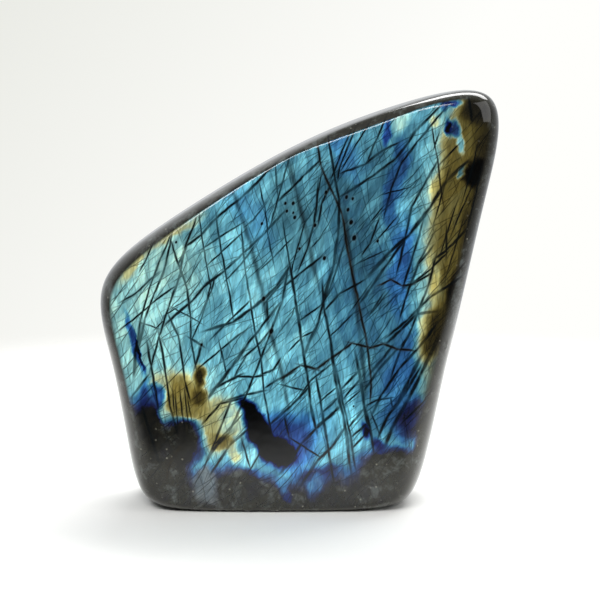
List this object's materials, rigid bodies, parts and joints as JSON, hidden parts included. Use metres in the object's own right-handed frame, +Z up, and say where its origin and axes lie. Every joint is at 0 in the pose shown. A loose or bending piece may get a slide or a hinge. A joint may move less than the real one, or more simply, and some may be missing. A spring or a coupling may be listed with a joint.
{
  "type": "labradorite freeform",
  "caption": "Polished upright slab of labradorite with rounded edges and a flashing face, standing on a flat sawn base.",
  "frame": {"origin": "middle of the flat base, which is the bottom centre of the bounding box", "axes": "+Z up, +X along the width towards the peak's side, -Y out of the broad flashing face"},
  "size_m": [0.1294, 0.047, 0.1365],
  "materials": {
    "polished_labradorite": "hand polished to a gloss; a blue, cyan and gold flash in grey-green feldspar, crossed by dark fractures"
  },
  "bodies": {
    "root": {"stone": "polished_labradorite"}
  },
  "joints": []
}
